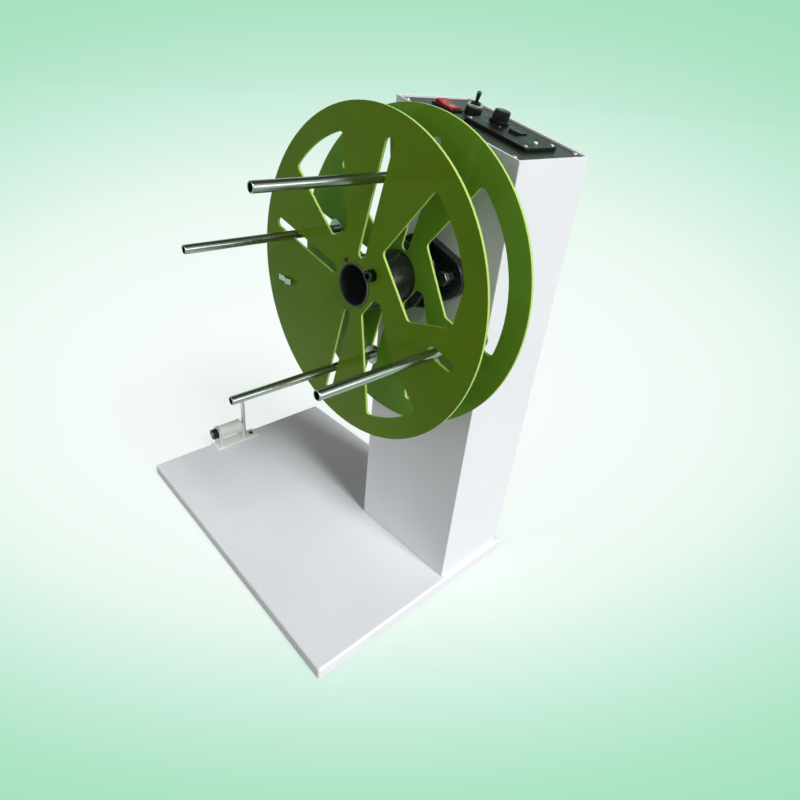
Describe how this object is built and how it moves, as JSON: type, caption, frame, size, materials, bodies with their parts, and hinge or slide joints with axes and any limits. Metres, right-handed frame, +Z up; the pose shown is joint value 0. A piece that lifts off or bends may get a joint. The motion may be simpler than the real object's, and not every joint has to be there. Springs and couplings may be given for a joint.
{
  "type": "wire pay-off machine",
  "caption": "Motor-driven wire pay-off: a reel of slotted discs and rods on a shaft from a tall column with a sloping control panel, over a tray base with a wire guide.",
  "frame": {"origin": "centre of the footprint on the floor: the middle of the whole part's box along X and Y, at the underside of the rubber feet", "axes": "+Z up; the reel's axis runs along X and its open side with the rods' tips faces -X; the base runs along Y, with the wire guide at its +Y edge and the column near its -Y end; the control panel slopes down towards -Y"},
  "size_m": [0.381, 0.5644, 0.6414],
  "materials": {
    "white_coat": "satin white powder coat",
    "panel_coat": "dark grey anodised panel",
    "green_acrylic": "polished green acrylic sheet",
    "black_plastic": "fine black moulding",
    "gloss_black": "glossy black",
    "black_iron": "black painted casting",
    "bright_steel": "bright stainless steel",
    "polished_steel": "nickel plated",
    "zinc_steel": "zinc plated",
    "red_plastic": "glossy red",
    "rubber": "black rubber",
    "nylon": "white nylon",
    "lamp_lens": "clear lamp lens",
    "cream_plastic": "cream terminal moulding"
  },
  "bodies": {
    "stand": {"base_tray": "white_coat", "rubber_foot_1": "rubber", "rubber_foot_2": "rubber", "rubber_foot_3": "rubber", "rubber_foot_4": "rubber", "column_shell": "white_coat", "column_back_cover": "white_coat", "control_panel": "panel_coat", "rocker_bezel": "black_plastic", "toggle_body": "black_plastic", "toggle_nut": "polished_steel", "speed_controller": "black_plastic", "run_lamp": "lamp_lens", "power_inlet": "black_plastic", "terminal_block": "cream_plastic", "outer_bearing_housing": "black_iron", "outer_bearing_bolt_1": "zinc_steel", "outer_bearing_bolt_2": "zinc_steel", "inner_bearing_housing": "black_iron", "inner_bearing_bolt_1": "zinc_steel", "inner_bearing_bolt_2": "zinc_steel", "drive_plate": "zinc_steel", "gearbox": "zinc_steel", "drive_motor": "black_iron", "drive_belt": "rubber", "guide_bracket": "white_coat", "guide_axle": "bright_steel", "guide_nut": "black_plastic", "guide_post": "bright_steel"},
    "reel": {"rear_disc": "green_acrylic", "rear_hub_flange": "black_iron", "hub_tube": "bright_steel", "main_shaft": "bright_steel", "shaft_nut": "black_iron", "outer_bearing_ring": "bright_steel", "inner_bearing_ring": "bright_steel", "shaft_pulley": "zinc_steel", "rod_1": "bright_steel", "rod_2": "bright_steel", "rod_3": "bright_steel", "rod_4": "bright_steel", "rod_nut_1": "zinc_steel", "rod_nut_2": "zinc_steel", "rod_nut_3": "zinc_steel", "rod_nut_4": "zinc_steel"},
    "sliding_flange": {"front_disc": "green_acrylic", "front_sleeve": "gloss_black", "wire_clip": "bright_steel"},
    "lock_screw": {"lock_knob": "black_plastic"},
    "drive_output": {"gearbox_shaft": "bright_steel", "motor_pulley": "zinc_steel"},
    "roller": {"guide_roller": "nylon"},
    "power_switch": {"power_rocker": "red_plastic"},
    "toggle_switch": {"toggle_lever": "polished_steel"},
    "speed_dial": {"speed_knob": "black_plastic"},
    "run_switch": {"run_rocker": "black_plastic"}
  },
  "joints": [
    {"name": "reel_spin", "type": "hinge", "parent": "stand", "child": "reel", "pos_m": [0, -0.1072, 0.4533], "axis": [-1, 0, 0], "continuous": true},
    {"name": "flange_slide", "type": "slide", "parent": "reel", "child": "sliding_flange", "axis": [-1, 0, 0], "range_m": [0, 0.035]},
    {"name": "lock_screw_turn", "type": "hinge", "parent": "sliding_flange", "child": "lock_screw", "pos_m": [-0.0521, -0.13613, 0.47209], "axis": [-1, 0, 0], "range_deg": [0, 360]},
    {"name": "drive_output_spin", "type": "hinge", "parent": "stand", "child": "drive_output", "pos_m": [0.12, -0.1072, 0.3033], "axis": [-1, 0, 0], "continuous": true},
    {"name": "guide_roller_spin", "type": "hinge", "parent": "stand", "child": "roller", "pos_m": [-0.0529, 0.2682, 0.052], "axis": [1, 0, 0], "continuous": true},
    {"name": "power_switch_rock", "type": "hinge", "parent": "stand", "child": "power_switch", "pos_m": [0.1065, -0.06929, 0.623], "axis": [1, 0, 0], "range_deg": [-12, 0]},
    {"name": "toggle_swing", "type": "hinge", "parent": "stand", "child": "toggle_switch", "pos_m": [0.131, -0.08845, 0.62469], "axis": [1, 0, 0], "range_deg": [-12, 12]},
    {"name": "speed_dial_turn", "type": "hinge", "parent": "stand", "child": "speed_dial", "pos_m": [0.1305, -0.12525, 0.61148], "axis": [0, -0.2696, 0.963], "range_deg": [-270, 0]},
    {"name": "run_switch_rock", "type": "hinge", "parent": "stand", "child": "run_switch", "pos_m": [0.1285, -0.15318, 0.60366], "axis": [0, 0.963, 0.2696], "range_deg": [-10, 0]}
  ],
  "couplings": [
    {"joint": "drive_output_spin", "follows": "reel_spin", "ratio": 1.5568}
  ]
}
